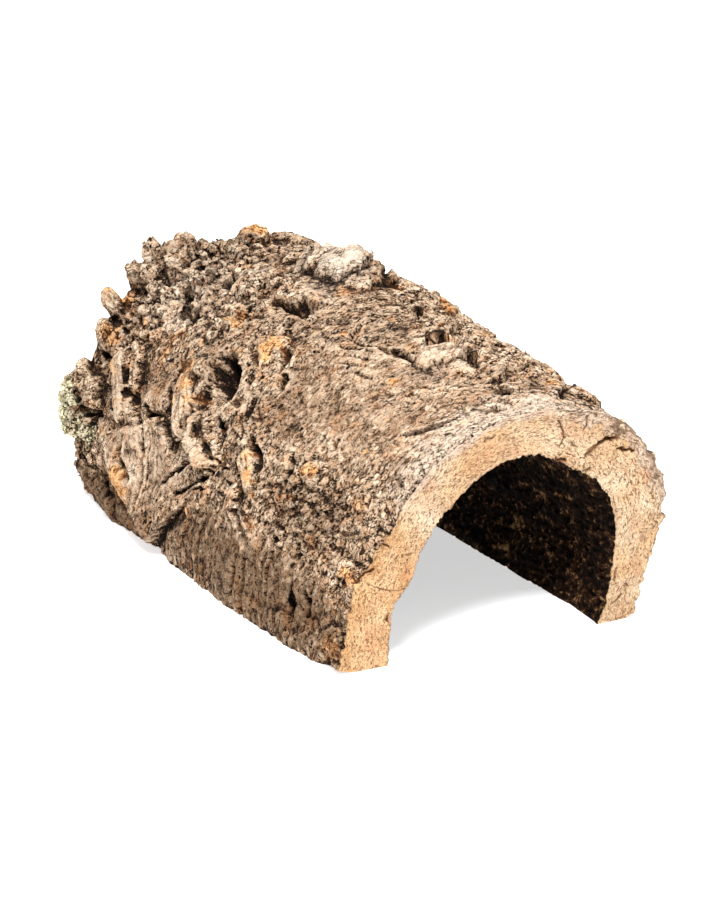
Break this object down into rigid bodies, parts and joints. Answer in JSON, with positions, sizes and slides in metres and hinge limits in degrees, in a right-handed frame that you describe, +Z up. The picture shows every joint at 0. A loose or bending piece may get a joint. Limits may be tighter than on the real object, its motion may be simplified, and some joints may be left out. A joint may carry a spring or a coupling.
{
  "type": "cork branch tunnel",
  "caption": "Half tube of virgin cork bark from a branch, rough outside, sawn square at both ends and along both long edges, open below as a tunnel or hide.",
  "frame": {"origin": "on the surface it stands on, at the middle of the box around the whole bark", "axes": "+Y runs along the tunnel from the front cut to the back cut, +X to the right seen from the front, +Z up"},
  "size_m": [0.2039, 0.312, 0.1395],
  "materials": {
    "cork_bark": "dry, matt, weathered grey-brown bark",
    "cut_cork": "dry, matt, freshly sawn tan cork with fine flecks",
    "cork_inside": "dark, rough, slightly glossy in places",
    "lichen": "matt, powdery, pale green-white crust"
  },
  "bodies": {
    "root": {"cork_bark": "cork_bark"}
  },
  "joints": []
}
